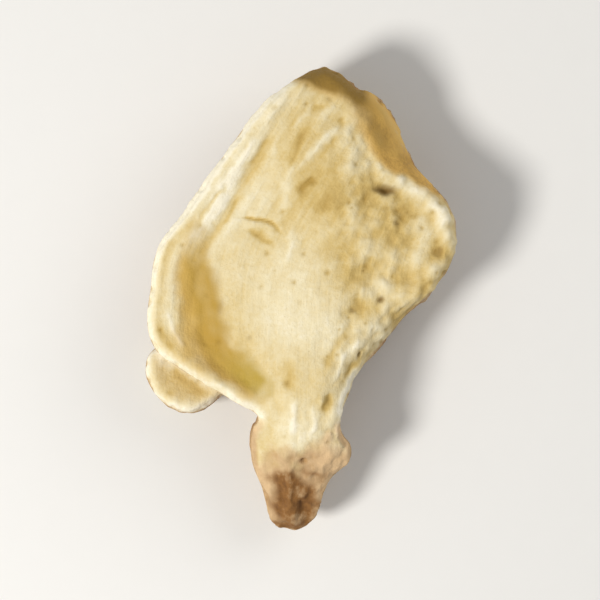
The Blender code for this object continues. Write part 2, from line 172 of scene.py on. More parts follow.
# Ochre hollows, painted darker the deeper they are, as painted shade: middle, radius, depth
HOLLOWS = (
    ((4.6, 4.1), 0.42, 0.1), ((3.9, 3.1), 0.55, 0.08), ((4.6, 2.8), 0.32, 0.07),
    ((2.9, 4.6), 0.6, 0.06), ((1.6, 5.0), 0.55, 0.05), ((0.9, 4.3), 0.5, 0.04),
    ((6.2, 2.2), 0.36, 0.1), ((2.2, 1.0), 0.55, 0.07), ((2.6, -0.1), 0.45, 0.06),
    ((1.9, 2.3), 0.6, 0.03), ((3.1, 1.7), 0.45, 0.05), ((4.3, 0.9), 0.38, 0.06),
    ((5.5, 0.5), 0.32, 0.06), ((4.2, -0.7), 0.4, 0.05), ((1.2, 9.1), 0.28, 0.04),
)

# Tones and shapes of those marks
MARK_WANDER = 0.07
STREAK_CONTRAST = 1.35
STREAK_TAPER = 0.2
CREASE_TAPER = 0.15
CREASE_END_WIDTH = 0.35
CREASE_SHADE_TONE = 0.55
CREASE_FULL_SHADE_DEPTH = 0.1
PIT_STEEPNESS = 1.5
PIT_FULL_SHADE_DEPTH = 0.2
LUMP_UNEVENNESS = 0.3
LUMP_LIGHT_PER_MM = 2.3
HOLLOW_TONE = 0.14
HOLLOW_SHADE_PER_MM = 1.6

# How far the normals of each part of the surface look up, or down for the lower face
UPPER_UP = (0.12, 0.34)
LOWER_DOWN = (0.3, 0.6)
FACET_UP = (0.05, 0.3)
BARK_MOST_UP = 0.3
TOP_LEAST_UP = 0.5
FACE_EDGE_SHARES = (0.1, 0.07)

# Skin of the facet. Its start beyond the crest shifts high up, at the tip and low down.
CREST_RAGGEDNESS = 0.18
FACET_START = -0.2
FACET_SHIFTS = (-0.2, -0.08, 0.14)
FACET_SOFTNESS = (0.46, 0.5)
FACET_TIP_SHARPNESS = 0.6
FACET_HIGH_Y = (6.3, 7.6)
FACET_TIP_Y = (8.6, 9.5)
FACET_LOW_Y = (6.2, 5.4)
FACET_SOFT_Y = (6.8, 8.2)
FACET_END_Y = (3.4, 4.6)
FACET_WRINKLES = 0.45
FACET_MOTTLE_SHARES = (0.55, 0.6)
FACET_TONES = (0.24, 0.3)
OLIVE_INSET = 0.45
OLIVE_WIDTH = 0.6
OLIVE_Y = (5.5, 7.5)
OLIVE_TIP_XY = ((3.2, 2.4), (8.5, 9.4))
OLIVE_CREST_SHARE = 0.5

# Skin of the stub: its ragged start, the way it comes up along the edges, and its tones, with painted light
# on its right side
STUB_EDGE_SHARES = (0.7, 0.3)
STUB_EDGE_SLANT = 0.15
STUB_EDGE_INSET = (0.55, 0.2)
STUB_EDGE_Y = (-5.2, -5.9)
STUB_WRINKLE_SHARES = (0.8, 0.3)
# Where the stub's right side gets painted light
STUB_PAINTED_LIGHT_X = (0.4, 1.6)
STUB_TONES = (0.2, 0.34, -0.04)
STUB_BROWN_WANDER = (0.35, 0.45)
STUB_BROWN_REACH = (1.15, 0.75)
STUB_RIDGE_SHARE = 0.85

# Growth lines and fibres. The numbers called ALONG stretch a pattern along the grain.
FLESH_ALONG = 0.11
BARK_ALONG = 0.17
STUB_ALONG = 0.3
GROWTH_ALONG = 0.14
GROWTH_LEFT_XY = ((0.0, -2.5), (-0.5, 3.0))
GROWTH_OUTER_INSET = (0.15, 0.45)
GROWTH_INNER_INSET = (3.0, 1.6)
GROWTH_SHARES = (0.3, 0.7)
GROWTH_TONE = 0.2
FIBRE_LEAN = 0.62
BEND_START = -1.0
BEND_LENGTH = 6.0
FIBRE_SHARES = (0.55, 0.35, 0.16)
FIBRE_UPPER_Y = (1.5, 4.5)
FIBRE_STRENGTHS = (0.2, 0.85, 0.6)
FIBRE_TONE = 0.22

# Grain and pores
GRAIN_RIGHT_XY = ((0.2, 3.0), (-4.8, -3.0))
GRAIN_STRENGTHS = (0.25, 0.75)
GRAIN_HEIGHTS = (0.6, 0.4)
GRAIN_TONES = (0.12, 0.07)
PORE_RIGHT_X = (0.0, 3.0)
PORE_INSET = (0.3, 0.6)
PORE_LEAST_SHARE = 0.25
PORE_RADII = (0.06, 0.13)
PORE_STRENGTHS = (0.25, 0.9)
PORE_REACH = 1.8
# Painted shade in the pores
PORE_SHADE_TONE = 0.3
PORE_PIT_SHADE = 0.3

# Broad tones: the core, the neck, painted light on the lower right, which slopes away from the key light,
# and a slow drift, then painted light along the rim and on the band inside it, strongest on the left where
# the key light falls
BROAD_TONES = (0.3, 0.09, 0.02, 0.06)
LOW_RIGHT_LIGHT_XY = ((0.8, 2.0), (-0.4, -1.6))
SLICE_END_Y = (-6.4, -5.0)
LEFT_X = (1.0, -2.0)
RIM_LIGHT_TONES = (0.04, 0.28)
RIM_INSET = (0.7, 0.2)
BAND_LIGHT_TONE = 0.16
BAND_INSET = (1.7, 1.1)

# Bark: folds, creases, threads and cracks, darker where sunk and paler where raised, partly the bark's own
# browns and partly painted shade and light, and the paler band below the rim
BARK_HEIGHTS = (0.75, -0.85, 0.3, -0.25)
BARK_TONES = (0.2, -0.34, 0.1, -0.14)
BARK_INSET = (0.5, 0.0)
CRACK_STRETCH = (0.5, 0.5, 1.0)
BELOW_RIM = (0.3, 2.2)
BELOW_RIM_SHARES = (0.3, 0.7)
NEAR_RIM_WIDTH = 0.5
NEAR_RIM_TONE = 0.34

# Chips of the rim, painted darker as painted shade
CHIP_STRETCH = (1.0, 1.0, 0.5)
CHIP_THRESHOLD = 0.25
CHIP_PLACE = 0.1
CHIP_WIDTH = 0.22
CHIP_SHADE_TONE = 0.25

# Colour of the growth ring, across it and along it. Fractions count from its upper end.
RING_WIDTH_SHARES = (0.22, 0.1)
RING_STRETCH = (1.6, 3.0, 0.25)
RING_UNEVEN_SHARES = (0.16, 0.1)
RING_REACH = (1.4, 0.5)
RING_OUTER_REACH = 0.98
RING_SPREAD = 0.22
RING_SPREAD_AT = 0.5
RING_SPREAD_SIZE = 0.15
RING_UPPER_END = (0.02, 0.16)
RING_UPPER_SHARES = (0.45, 0.55)
RING_LOWER_END = (0.94, 1.0)
RING_LOWER_LOSS = 0.5
RING_GREEN_FRACTION = (0.55, 0.9)
# Where the ring's outer wall, in shade from the key light, gets painted light: a paler gold
RING_WALL_LIGHT = (0.1, 0.75)

# Finish of the root
RING_STRENGTH = 0.95
VESSEL_SHADE = 0.22
BARK_SPECK_SHADE = 0.35
ROUGHNESS = (0.62, 0.88)
BUMP_STRENGTH = 0.45
BUMP_DISTANCE = 0.00003
SPECULAR = 0.28

# Studio
FLOOR_GAP = 0.02 * MM
FLOOR_DARKER = 0.985
FLOOR_PATCHES = 900.0
FLOOR_ROUGHNESS = 0.9
FLOOR_SPECULAR = 0.2
WHITE = (1.0, 1.0, 1.0, 1.0)
CLIP = (0.001, 10.0)

# Lights: place, size, colour
KEY = ((-0.095, -0.045, 0.125), 0.04, (1.0, 0.97, 0.92))
FILL = ((0.12, 0.09, 0.12), 0.16, (1.0, 0.96, 0.9))

# Sockets of a mix node when it mixes colours: the factor, the two colours, and the result
MIX_INPUTS = (0, 6, 7)
MIX_RESULT = 2


def rise(values, start, end):
    """A smooth rise from 0 at the start to 1 at the end, level beyond both, for a whole array."""
    t = np.clip((values - start) / (end - start), 0.0, 1.0)
    return t * t * (3.0 - 2.0 * t)


def bell(distances, width):
    """Bell-shaped profile, 1 at distance 0."""
    return np.exp(-(distances / width) ** 2)


def shared(shares, *patterns):
    """The patterns added up, each by its share."""
    return sum(share * pattern for share, pattern in zip(shares, patterns))


def raw_noise(places, per_mm, layer):
    """Smooth noise at each place. Another layer gives another pattern."""
    return np.array([noise.noise(Vector((x, y, z + layer))) for x, y, z in places * per_mm])


def waves(places, per_mm, layer):
    """Smooth noise between -1 and 1 at each place, per_mm waves to the millimetre."""
    return np.clip(NOISE_CONTRAST * raw_noise(places, per_mm, layer), -1.0, 1.0)


def ridges(places, per_mm, width, layer):
    """Narrow winding lines, 1 along their middles and 0 between them."""
    return np.clip(1.0 - np.abs(raw_noise(places, per_mm, layer)) / width, 0.0, 1.0)


def distance_to_line(x, y, line):
    """Distance in plan to a polyline, the fraction of the way along it, and the side: +1 on its left."""
    places = np.column_stack([x, y])
    line = np.array(line)
    best = np.full(len(x), np.inf)
    fraction = np.zeros(len(x))
    side = np.ones(len(x))
    for index, (start, end) in enumerate(zip(line[:-1], line[1:])):
        span = end - start
        reach = places - start
        along = np.clip(reach @ span / (span @ span), 0.0, 1.0)
        distance = np.linalg.norm(reach - along[:, None] * span, axis=1)
        nearer = distance < best
        best[nearer] = distance[nearer]
        fraction[nearer] = (index + along[nearer]) / (len(line) - 1)
        side[nearer] = np.where(span[0] * reach[:, 1] - span[1] * reach[:, 0] >= 0, 1.0, -1.0)[nearer]
    return best, fraction, side


def tapered(fraction, middle):
    """1 along the middle of a line, up to that far from its half-way point, and 0 at both its ends."""
    return rise(np.abs(fraction - 0.5), 0.5, middle)


def reach_from(x, y, middle, size):
    """Distance in plan from a middle, 1 on the ellipse that has these half sizes."""
    return np.hypot((x - middle[0]) / size[0], (y - middle[1]) / size[1])


def select_only(piece):
    """Deselect everything else and make the piece the active object."""
    bpy.ops.object.select_all(action="DESELECT")
    piece.select_set(True)
    bpy.context.view_layer.objects.active = piece


def scale_mesh(piece, factor):
    """Scale the piece about the origin and apply the scale to its mesh."""
    select_only(piece)
    bpy.ops.transform.resize(value=(factor, factor, factor), center_override=(0.0, 0.0, 0.0))
    bpy.ops.object.transform_apply(location=True, rotation=True, scale=True)


def copy_of_node(name):
    """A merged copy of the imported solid, free of its parent and its tags."""
    select_only(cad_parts[NODE])
    bpy.ops.object.duplicate()
    piece = bpy.context.active_object
    piece.parent = None
    for tag in [key for key in piece.keys() if key.startswith("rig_")]:
        del piece[tag]
    piece.name = name
    piece.data.name = name
    select_only(piece)
    bpy.ops.object.mode_set(mode="EDIT")
    bpy.ops.mesh.select_all(action="SELECT")
    bpy.ops.mesh.remove_doubles(threshold=MERGE_DISTANCE)
    bpy.ops.object.mode_set(mode="OBJECT")
    return piece


def even_mesh(piece, pitch_mm, smoothing):
    """Replace the faceted surface, in millimetres, by an even and smooth one."""
    select_only(piece)
    piece.data.remesh_voxel_size = pitch_mm
    bpy.ops.object.voxel_remesh()
    relax = piece.modifiers.new("even_out", "SMOOTH")
    relax.factor = RELAX_FACTOR
    relax.iterations = smoothing
    bpy.ops.object.modifier_apply(modifier=relax.name)


def across_fibres(x, y):
    """A value that is the same all along a fibre: it leans to the right above and runs down to the neck."""
    t = np.clip((y - BEND_START) / BEND_LENGTH, 0.0, 1.0)
    above = np.maximum(y - BEND_START - BEND_LENGTH, 0.0)
    return x - FIBRE_LEAN * BEND_LENGTH * (t ** 3 - t ** 4 / 2) - FIBRE_LEAN * above


class Surface:
    """The points of the slice in millimetres, with what each is part of, its relief and its tone."""

    def __init__(self, piece):
        count = len(piece.data.vertices)
        places = np.empty(count * 3)
        normals = np.empty(count * 3)
        piece.data.vertices.foreach_get("co", places)
        piece.data.vertices.foreach_get("normal", normals)
        self.places = places.reshape(-1, 3)
        self.normals = normals.reshape(-1, 3)
        self.x, self.y, self.z = self.places.T
        self.relief = np.zeros(count)
        self.tone = np.full(count, MIDDLE_TONE)
        self.pit = np.zeros(count)
        self.find_parts()
        self.find_grain()

    def find_parts(self):
        """Masks for the faces, bark, facet and stub, and the distances from the bark and the top."""
        up = self.normals[:, 2]
        coarse = waves(self.places, per_mm=1.6, layer=3.0)
        fine = waves(self.places, per_mm=4.0, layer=5.0)
        self.upper = rise(up + shared(FACE_EDGE_SHARES, coarse, fine), *UPPER_UP)
        lower = rise(-up, *LOWER_DOWN)
        self.face = np.maximum(self.upper, lower)
        self.bark = 1.0 - self.face
        self.inset, self.nearest_bark = self.nearest(np.abs(up) < BARK_MOST_UP)
        self.from_top, _ = self.nearest(up > TOP_LEAST_UP)
        self.facet = self.beyond_crest() * rise(up, *FACET_UP)
        self.stub = self.under_stub_skin()
        self.flesh = self.face * (1.0 - self.facet)
        self.top = self.upper * (1.0 - self.facet) * (1.0 - self.stub)

    def beyond_crest(self):
        """Mask of what lies beyond the crest: it starts softly high up and sharply at the tip."""
        distance, _, side = distance_to_line(self.x, self.y, CREST)
        self.past_crest = distance * side
        ragged = self.past_crest + CREST_RAGGEDNESS * waves(self.places, per_mm=1.1, layer=8.0)
        high = rise(self.y, *FACET_HIGH_Y)
        tip = rise(self.y, *FACET_TIP_Y)
        low = rise(self.y, *FACET_LOW_Y)
        start = FACET_START + shared(FACET_SHIFTS, high, tip, low)
        soft = rise(self.y, *FACET_SOFT_Y) * (1.0 - FACET_TIP_SHARPNESS * tip)
        softness = shared(FACET_SOFTNESS, 1.0, soft)
        return rise((ragged - start) / softness, 0.0, 1.0) * rise(self.y, *FACET_END_Y)

    def under_stub_skin(self):
        """Mask of the stub's skin, which starts raggedly and comes up along both edges."""
        coarse = waves(self.places, per_mm=0.7, layer=6.0)
        fine = waves(self.places, per_mm=2.0, layer=7.0)
        ragged = self.y + shared(STUB_EDGE_SHARES, coarse, fine)
        along = rise(ragged - STUB_EDGE_SLANT * self.x, *STUB_Y)
        edges = rise(self.inset, *STUB_EDGE_INSET) * rise(self.y, *STUB_EDGE_Y)
        return np.maximum(along, edges)

    def find_grain(self):
        """Coordinates that stretch a pattern along the grain of the flesh and of the bark."""
        self.along_flesh = np.column_stack([across_fibres(self.x, self.y), self.y * FLESH_ALONG, self.z])
        along_side = self.places * (1.0, 1.0, BARK_ALONG)
        along_stub = np.column_stack([self.x, self.z, self.y * STUB_ALONG])
        self.along_bark = np.where(self.stub[:, None] > 0.5, along_stub, along_side)

    def nearest(self, wanted):
        """For every point, how far the nearest of the wanted points is, and where."""
        tree = kdtree.KDTree(int(wanted.sum()))
        for index in np.flatnonzero(wanted):
            tree.insert(self.places[index], int(index))
        tree.balance()
        found = [tree.find(place) for place in self.places]
        distances = np.array([distance for _, _, distance in found])
        return distances, np.array([place for place, _, _ in found])

    def beyond(self, corner):
        """Mask of the points past a corner, from its soft edges in x and y."""
        return rise(self.x, *corner[0]) * rise(self.y, *corner[1])

    def add(self, height, tone):
        """Add to the relief, in millimetres, and to the tone."""
        self.relief += height
        self.tone += tone

    def settle(self, box):
        """Move the points by the relief along their normals, inside the solid's own box."""
        moved = self.places + self.normals * self.relief[:, None]
        low, high = [np.array(corner) / MM for corner in box]
        return np.clip(moved, low, high)


def add_broad_tones(root):
    """The palest and the darker regions of the upper face. Painted light brightens the rim, the band inside
    it on the left, the lower right and a patch inside the crest; painted shadow of the rim darkens the
    lower ledge.
    """
    core = bell(reach_from(root.x, root.y, CORE, CORE_SIZE), 1.0)
    neck = rise(root.y, *NECK_Y) * (1.0 - root.stub)
    # Painted light: the lower right, which slopes away from the key light, is made paler
    low_right_light = root.beyond(LOW_RIGHT_LIGHT_XY) * (1.0 - root.stub)
    drift = waves(root.places, per_mm=0.45, layer=61.0)
    # Painted light: the rim is made paler all round and most on the left, facing the key light, and so is
    # the band inside it on the left
    left = rise(root.x, *LEFT_X)
    rim = shared(RIM_LIGHT_TONES, 1.0, left) * rise(root.inset, *RIM_INSET)
    band = BAND_LIGHT_TONE * left * rise(root.inset, *BAND_INSET)
    tone = shared(BROAD_TONES, core, neck, low_right_light, drift)
    tone += (rim + band) * rise(root.y, *SLICE_END_Y)
    for middle, radius_x, radius_y, patch_tone in BROAD_PATCHES:
        tone += patch_tone * bell(reach_from(root.x, root.y, middle, (radius_x, radius_y)), 1.0)
    root.add(0.0, tone * root.flesh)


def add_growth_lines(root, height):
    """Fine lines that follow the bark, clearest along the left."""
    bark = root.nearest_bark * GROWTH_ALONG
    along_bark = np.column_stack([bark[:, 0], bark[:, 1], root.inset])
    lines = waves(along_bark, per_mm=2.3, layer=2.0)
    left = root.beyond(GROWTH_LEFT_XY)
    reach = rise(root.inset, *GROWTH_INNER_INSET) * rise(root.inset, *GROWTH_OUTER_INSET)
    lines *= shared(GROWTH_SHARES, 1.0, left) * reach * root.flesh * (1.0 - root.stub)
    root.add(height * lines, GROWTH_TONE * lines)


def add_fibres(root, height):
    """Long fibres in the flesh, clearest in the upper half and in the neck."""
    coarse = waves(root.along_flesh, per_mm=0.85, layer=4.0)
    medium = waves(root.along_flesh, per_mm=2.1, layer=9.0)
    fine = waves(root.along_flesh, per_mm=4.6, layer=13.0)
    upper_half = rise(root.y, *FIBRE_UPPER_Y)
    neck = rise(root.y, *NECK_Y)
    fibres = shared(FIBRE_SHARES, coarse, medium, fine)
    fibres *= root.flesh * shared(FIBRE_STRENGTHS, 1.0, upper_half, neck)
    root.add(height * fibres, FIBRE_TONE * fibres)


def add_grain(root, height):
    """Lumpy grain of the shrunken flesh, coarse on the right and fine all over."""
    right = root.beyond(GRAIN_RIGHT_XY)
    lumps = waves(root.places, per_mm=1.15, layer=12.0)
    grains = waves(root.places, per_mm=2.6, layer=17.0)
    strength = shared(GRAIN_STRENGTHS, 1.0, right) * root.flesh
    relief = shared(GRAIN_HEIGHTS, lumps, grains) * strength
    root.add(height * relief, shared(GRAIN_TONES, lumps, grains) * strength)


def add_streaks_and_creases(root, on_top, wander):
    """The single streaks and creases of the upper face; the creases get painted shade, darker the deeper
    they are.
    """
    x, y = root.x, root.y
    for line, width, height, tone in STREAKS:
        distance, fraction, _ = distance_to_line(x + wander, y - wander, line)
        streak = bell(distance, width) * tapered(fraction, STREAK_TAPER) * on_top
        root.add(height * streak, STREAK_CONTRAST * tone * streak)
    for line, width, depth in CREASES:
        distance, fraction, _ = distance_to_line(x + wander, y + wander, line)
        taper = tapered(fraction, CREASE_TAPER)
        half_width = width * (CREASE_END_WIDTH + (1.0 - CREASE_END_WIDTH) * taper)
        crease = bell(distance, half_width) * taper * on_top
        # Painted shade in the creases, darker the deeper the crease
        root.add(-depth * crease, -CREASE_SHADE_TONE * min(depth / CREASE_FULL_SHADE_DEPTH, 1.0) * crease)


def add_pits_and_lumps(root, on_top, wander):
    """The single pits, lumps and hollows of the upper face, with painted shade in the pits, deeper ones
    darker, painted shade in the hollows over their ochre, and painted light on the lumps, higher ones
    paler.
    """
    x, y = root.x, root.y
    for (middle_x, middle_y), half_length, half_width, turn, depth in PITS:
        angle = np.radians(turn)
        along = (x + wander - middle_x) * np.cos(angle) + (y - middle_y) * np.sin(angle)
        across = (y - wander - middle_y) * np.cos(angle) - (x - middle_x) * np.sin(angle)
        pit = bell(np.hypot(along / half_length, across / half_width) ** PIT_STEEPNESS, 1.0) * on_top
        root.add(-depth * pit, 0.0)
        # Painted shade: the pit mask browns the pits, the deeper the pit the more
        root.pit = np.maximum(root.pit, pit * min(depth / PIT_FULL_SHADE_DEPTH, 1.0))
    uneven = 1.0 + LUMP_UNEVENNESS * waves(root.places, per_mm=1.6, layer=75.0)
    # Painted light on the lumps, paler the higher they are, and painted shade in the hollows, darker the
    # deeper they are, over their ochre
    marks = [(*lump, LUMP_LIGHT_PER_MM * lump[2]) for lump in LUMPS]
    for middle, radius, depth in HOLLOWS:
        marks.append((middle, radius, -depth, -(HOLLOW_TONE + HOLLOW_SHADE_PER_MM * depth)))
    for (middle_x, middle_y), radius, height, tone in marks:
        mark = bell(np.hypot(x - middle_x, y - middle_y) * uneven, radius) * on_top
        root.add(height * mark, tone * mark)


def add_marks(root):
    """All the single marks of the upper face."""
    wander = MARK_WANDER * waves(root.places, per_mm=1.9, layer=71.0)
    on_top = root.upper * (1.0 - root.facet)
    add_streaks_and_creases(root, on_top, wander)
    add_pits_and_lumps(root, on_top, wander)


def add_pores(root, count, depth):
    """Small pores scattered over the cut faces, more of them where the grain is coarse."""
    draw = np.random.default_rng(RANDOM_SEED)
    right = rise(root.x, *PORE_RIGHT_X)
    weights = root.flesh * (PORE_LEAST_SHARE + right) * rise(root.inset, *PORE_INSET)
    middles = draw.choice(len(weights), size=count, replace=False, p=weights / weights.sum())
    tree = kdtree.KDTree(len(root.places))
    for index, place in enumerate(root.places):
        tree.insert(place, index)
    tree.balance()
    pores = np.zeros(len(root.x))
    for middle in middles:
        radius = draw.uniform(*PORE_RADII)
        strength = draw.uniform(*PORE_STRENGTHS)
        for _, index, distance in tree.find_range(root.places[middle], radius * PORE_REACH):
            pores[index] = max(pores[index], strength * bell(distance, radius))
    # Painted shade: the pores are made darker, and browner through the pit mask
    root.add(-depth * pores, -PORE_SHADE_TONE * pores)
    root.pit = np.maximum(root.pit, PORE_PIT_SHADE * pores)


def add_bark_wrinkles(root, height):
    """Wrinkles along the root on the bark, with short cracks across them. Their tones follow the relief,
    partly the bark's own browns and partly painted shade in the creases and cracks and painted light on the
    folds.
    """
    folds = waves(root.along_bark, per_mm=1.15, layer=21.0)
    creases = ridges(root.along_bark, per_mm=1.6, width=0.2, layer=25.0)
    threads = waves(root.along_bark, per_mm=4.2, layer=29.0)
    cracks = ridges(root.places * CRACK_STRETCH, per_mm=2.6, width=0.09, layer=33.0)
    on_bark = root.bark * rise(root.inset, *BARK_INSET)
    wrinkles = shared(BARK_HEIGHTS, folds, creases, threads, cracks) * on_bark
    tones = shared(BARK_TONES, folds, creases, threads, cracks) * on_bark
    below_rim = rise(root.from_top, *BELOW_RIM)
    near_rim = bell(root.from_top, NEAR_RIM_WIDTH) * root.bark
    tones *= shared(BELOW_RIM_SHARES, 1.0, below_rim)
    root.add(height * wrinkles * below_rim, tones + NEAR_RIM_TONE * near_rim)


def add_stub_wrinkles(root, height):
    """Lengthwise wrinkles over the top of the stub, with painted light that makes it palest on its right,
    the side away from the key light.
    """
    folds = waves(root.along_bark, per_mm=1.3, layer=35.0)
    threads = waves(root.along_bark, per_mm=3.6, layer=37.0)
    wrinkles = shared(STUB_WRINKLE_SHARES, folds, threads)
    on_stub = root.stub * root.upper
    # Painted light on the right of the stub, which faces away from the key light
    side = rise(root.x, *STUB_PAINTED_LIGHT_X)
    root.add(height * wrinkles * on_stub, shared(STUB_TONES, wrinkles, side, 1.0) * on_stub)


def add_facet_folds(root, height):
    """Mottled folds of the facet, with a paler outer edge."""
    along = waves(root.along_bark, per_mm=1.0, layer=39.0)
    across = waves(root.places, per_mm=1.2, layer=40.0)
    mottled = shared(FACET_MOTTLE_SHARES, along, across)
    from_edge, _, _ = distance_to_line(root.x, root.y, FACET_EDGE)
    edge = bell(from_edge, FACET_EDGE_WIDTH)
    relief = FACET_WRINKLES * height * mottled * root.facet
    root.add(relief, shared(FACET_TONES, mottled, edge) * root.facet)


def add_chipped_rim_with_shade(root, depth):
    """Small chips along the edge of a cut face, painted darker as painted shade in them."""
    chips = waves(root.places * CHIP_STRETCH, per_mm=2.4, layer=41.0) - CHIP_THRESHOLD
    along_rim = bell(root.inset - CHIP_PLACE, CHIP_WIDTH) * root.face * (1.0 - root.stub)
    chipped = np.clip(chips, 0.0, 1.0) * along_rim
    root.add(-depth * chipped, -CHIP_SHADE_TONE * chipped)


def ring_masks(root):
    """How strongly the sunken growth ring is coloured, how green it is, and where its outer wall, in shade
    from the key light, gets painted light.
    """
    distance, fraction, side = distance_to_line(root.x, root.y, RING_LINE)
    half_width = np.interp(fraction, np.linspace(0.0, 1.0, len(RING_LINE)), RING_HALF_WIDTHS)
    broad = waves(root.places, per_mm=0.8, layer=51.0)
    narrow = waves(root.places, per_mm=2.0, layer=52.0)
    half_width *= 1.0 + shared(RING_WIDTH_SHARES, broad, narrow)
    outer = RING_OUTER_REACH - RING_SPREAD * bell(fraction - RING_SPREAD_AT, RING_SPREAD_SIZE)
    reach = np.where(side > 0, 1.0, outer) * distance / half_width
    along_ring = np.column_stack([distance * side, fraction, root.z]) * RING_STRETCH
    lengthwise = waves(along_ring, per_mm=1.0, layer=53.0)
    blotches = waves(root.places, per_mm=1.5, layer=55.0)
    uneven = 1.0 + shared(RING_UNEVEN_SHARES, lengthwise, blotches)
    upper_end = shared(RING_UPPER_SHARES, 1.0, rise(fraction, *RING_UPPER_END))
    lower_end = 1.0 - RING_LOWER_LOSS * rise(fraction, *RING_LOWER_END)
    return {
        "ring": rise(reach, *RING_REACH) * uneven * upper_end * lower_end * root.top,
        "ring_green": rise(fraction, *RING_GREEN_FRACTION),
        "ring_wall_light": rise(-distance * side, *RING_WALL_LIGHT),
    }


def facet_olive_mask(root):
    """How olive-brown the facet is: most of all at the tip and just below the crest."""
    near_crest = bell(root.past_crest - OLIVE_INSET, OLIVE_WIDTH) * rise(root.y, *OLIVE_Y)
    near_tip = root.beyond(OLIVE_TIP_XY)
    return np.clip(OLIVE_CREST_SHARE * near_crest + near_tip, 0.0, 1.0) * root.facet


def stub_brown_mask(root):
    """The brown mottled middle of the stub's top."""
    wander_x, wander_y = STUB_BROWN_WANDER
    x = root.x + wander_x * waves(root.places, per_mm=1.3, layer=81.0)
    y = root.y + wander_y * waves(root.places, per_mm=1.1, layer=83.0)
    brown = rise(reach_from(x, y, STUB_BROWN, STUB_BROWN_SIZE), *STUB_BROWN_REACH)
    from_ridge, _, _ = distance_to_line(x, y, STUB_RIDGE)
    paler_ridge = 1.0 - STUB_RIDGE_SHARE * bell(from_ridge, STUB_RIDGE_WIDTH)
    return brown * paler_ridge * root.stub * root.upper


def put_on_mesh(piece, places, masks, vectors):
    """Put the points, the masks and the grain coordinates on the mesh."""
    piece.data.vertices.foreach_set("co", places.ravel())
    masks = {name: np.clip(values, 0.0, 1.0) for name, values in masks.items()}
    for kind, field, layers in (("FLOAT", "value", masks), ("FLOAT_VECTOR", "vector", vectors)):
        for name, values in layers.items():
            layer = piece.data.attributes.new(name, kind, "POINT")
            layer.data.foreach_set(field, values.ravel())
    piece.data.update()


def model_slice(settings):
    """The finer copy of the slice with all its relief and its masks."""
    piece = copy_of_node(PIECE)
    scale_mesh(piece, 1.0 / MM)
    even_mesh(piece, settings.mesh_pitch / MM, settings.smoothing)
    root = Surface(piece)
    scale = settings.relief / MM
    add_broad_tones(root)
    add_growth_lines(root, scale * settings.growth_line_height)
    add_fibres(root, scale * settings.fibre_height)
    add_grain(root, scale * settings.grain_height)
    add_marks(root)
    add_pores(root, settings.pore_count, scale * settings.pore_depth)
    add_bark_wrinkles(root, scale * settings.wrinkle_height)
    add_stub_wrinkles(root, scale * settings.wrinkle_height)
    add_facet_folds(root, scale * settings.wrinkle_height)
    add_chipped_rim_with_shade(root, scale * settings.chip_depth)
    masks = {
        "tone": root.tone,
        "bark": root.bark,
        "stub": root.stub,
        "stub_brown": stub_brown_mask(root),
        "facet": root.facet,
        "facet_olive": facet_olive_mask(root),
        "pit": root.pit,
        **ring_masks(root),
    }
    vectors = {"along_flesh": root.along_flesh, "along_bark": root.along_bark}
    put_on_mesh(piece, root.settle(CAD_BOX), masks, vectors)
    scale_mesh(piece, MM)
    bpy.ops.object.shade_smooth()
    return piece


def new_node(tree, kind, place, **values):
    """A node at a place in the editor, with plain values for its inputs."""
    node = tree.nodes.new(kind)
    node.location = place
    for name, value in values.items():
        node.inputs[name.replace("_", " ")].default_value = value
    return node


def feed(tree, source, target):
    """Feed an input from a socket, or give it a plain value."""
    if isinstance(source, bpy.types.NodeSocket):
        tree.links.new(source, target)
    else:
        target.default_value = source


def mixed(tree, place, factor, first, second):
    """A colour between the first and the second, as a socket."""
    node = new_node(tree, "ShaderNodeMix", place)
    node.data_type = "RGBA"
    for index, source in zip(MIX_INPUTS, (factor, first, second)):
        feed(tree, source, node.inputs[index])
    return node.outputs[MIX_RESULT]


def computed(tree, place, operation, *sources):
    """The result of a math node, as a socket."""
    node = new_node(tree, "ShaderNodeMath", place)
    node.operation = operation
    for index, source in enumerate(sources):
        feed(tree, source, node.inputs[index])
    return node.outputs[0]


def tone_ramp(tree, place, tone, colours, **stops):
    """A ramp over the tone. Each stop is a colour's name with its tone, the lowest first."""
    node = new_node(tree, "ShaderNodeValToRGB", place)
    elements = node.color_ramp.elements
    first, *between, last = stops.values()
    elements[0].position = first
    elements[1].position = last
    for position in between:
        elements.new(position)
    for element, name in zip(elements, stops):
        element.color = (*getattr(colours, name), 1.0)
    feed(tree, tone, node.inputs["Fac"])
    return node.outputs["Color"]


def attribute(tree, name, place, output="Fac"):
    """A mask or a set of coordinates that the mesh carries, as a socket."""
    node = new_node(tree, "ShaderNodeAttribute", place)
    node.attribute_name = name
    return node.outputs[output]


def mask_group(name, kind, output, given, texture_values, range_values):
    """Group: a texture over the given places, cut to a mask. Given says which limit each input sets."""
    group = bpy.data.node_groups.new(name, "ShaderNodeTree")
    group.interface.new_socket("Places", in_out="INPUT", socket_type="NodeSocketVector")
    for label in ("Per mm", *given):
        group.interface.new_socket(label, in_out="INPUT", socket_type="NodeSocketFloat")
    group.interface.new_socket("Mask", in_out="OUTPUT", socket_type="NodeSocketFloat")
    start = new_node(group, "NodeGroupInput", (-600, 0))
    texture = new_node(group, kind, (-300, 0), **texture_values)
    limits = new_node(group, "ShaderNodeMapRange", (100, 0), **range_values)
    end = new_node(group, "NodeGroupOutput", (600, 0))
    feed(group, start.outputs["Places"], texture.inputs["Vector"])
    feed(group, start.outputs["Per mm"], texture.inputs["Scale"])
    feed(group, texture.outputs[output], limits.inputs["Value"])
    for label, limit in given.items():
        feed(group, start.outputs[label], limits.inputs[limit])
    feed(group, limits.outputs["Result"], end.inputs["Mask"])
    return group


